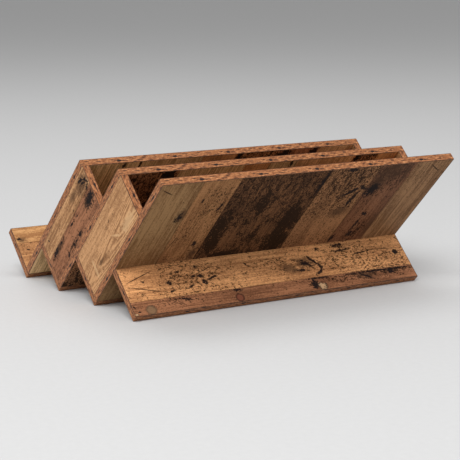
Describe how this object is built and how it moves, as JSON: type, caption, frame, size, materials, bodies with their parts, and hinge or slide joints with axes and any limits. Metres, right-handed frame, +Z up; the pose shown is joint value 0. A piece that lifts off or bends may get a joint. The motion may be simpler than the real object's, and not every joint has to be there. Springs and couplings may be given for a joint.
{
  "type": "magazine rack",
  "caption": "Low zigzag magazine rack: long boards leaning forward with short boards at right angles, forming two closed-ended slanting pockets, an open rear trough and a front ledge.",
  "frame": {"origin": "centre of the bounding box on the ground, z = 0 at the four edges the rack stands on", "axes": "+X along the long boards, -Y to the front (the side the boards lean towards), +Z up"},
  "size_m": [0.66, 0.6484, 0.2737],
  "materials": {
    "board_print": "matt melamine print of old reclaimed planks",
    "edge_band": "matt printed edge band, orange-brown",
    "dowel": "plain beech",
    "screw": "zinc-plated countersunk wood screws"
  },
  "bodies": {
    "root": {"leaf_rear": "board_print", "leaf_middle": "board_print", "leaf_front": "board_print", "lip_rear": "board_print", "floor_rear": "board_print", "floor_front": "board_print", "foot_front": "board_print", "end_rear_left": "board_print", "end_rear_right": "board_print", "end_front_left": "board_print", "end_front_right": "board_print", "leaf_rear_bands": "edge_band", "leaf_middle_bands": "edge_band", "leaf_front_bands": "edge_band", "lip_rear_bands": "edge_band", "floor_rear_bands": "edge_band", "floor_front_bands": "edge_band", "foot_front_bands": "edge_band", "end_rear_left_band": "edge_band", "end_rear_right_band": "edge_band", "end_front_left_band": "edge_band", "end_front_right_band": "edge_band", "shelf_dowels_rear": "dowel", "shelf_dowels_middle": "dowel", "shelf_dowels_front": "dowel", "end_rear_left_dowels": "dowel", "end_rear_right_dowels": "dowel", "end_front_left_dowels": "dowel", "end_front_right_dowels": "dowel", "corner_screws_rear": "screw", "corner_screws_middle": "screw", "corner_screws_front": "screw", "shelf_screws_rear": "screw", "shelf_screws_middle": "screw", "shelf_screws_front": "screw"}
  },
  "joints": []
}
